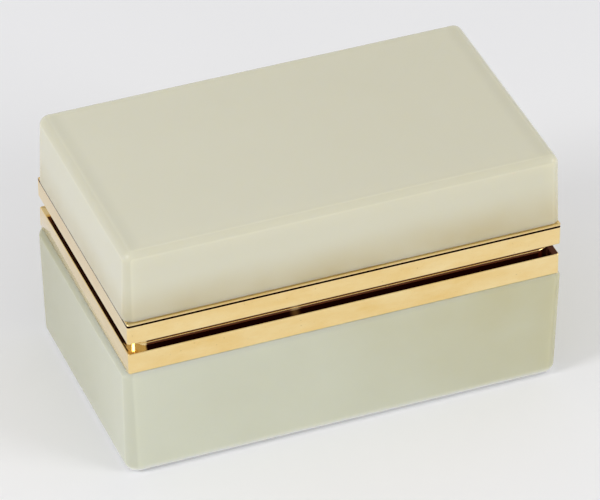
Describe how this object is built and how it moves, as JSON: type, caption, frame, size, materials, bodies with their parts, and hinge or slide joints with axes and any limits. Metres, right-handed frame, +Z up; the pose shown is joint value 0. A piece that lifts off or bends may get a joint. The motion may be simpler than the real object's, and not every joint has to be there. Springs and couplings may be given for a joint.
{
  "type": "decorative box",
  "caption": "Rectangular opaline glass keepsake box with a hinged lid, stepped polished brass mounts round both rims and a finger groove between them.",
  "frame": {"origin": "centre of the underside, on the table", "axes": "+X to the right along the front, +Y to the back where the hinge is, +Z up"},
  "size_m": [0.142, 0.082, 0.082],
  "materials": {
    "opaline_base": "fire-polished opaline glass, pale celadon, milky and not see-through",
    "opaline_lid": "fire-polished opaline glass, warm cream-green, milky and not see-through",
    "polished_brass": "mirror-polished and gilt",
    "hinge_steel": "drawn wire",
    "cement": "matt plaster cement"
  },
  "bodies": {
    "base": {"base_glass": "opaline_base", "base_cement": "cement", "base_rail_front": "polished_brass", "base_rail_right": "polished_brass", "base_rail_back": "polished_brass", "base_rail_left": "polished_brass", "base_knuckle_left": "polished_brass", "base_knuckle_middle": "polished_brass", "base_knuckle_right": "polished_brass", "hinge_pin": "hinge_steel"},
    "lid": {"lid_glass": "opaline_lid", "lid_cement": "cement", "lid_rail_front": "polished_brass", "lid_rail_right": "polished_brass", "lid_rail_back": "polished_brass", "lid_rail_left": "polished_brass", "lid_knuckle_left": "polished_brass", "lid_knuckle_right": "polished_brass"}
  },
  "joints": [
    {"name": "lid_hinge", "type": "hinge", "parent": "base", "child": "lid", "pos_m": [0, 0.03924, 0.0485], "axis": [-1, 0, 0], "range_deg": [0, 100]}
  ]
}
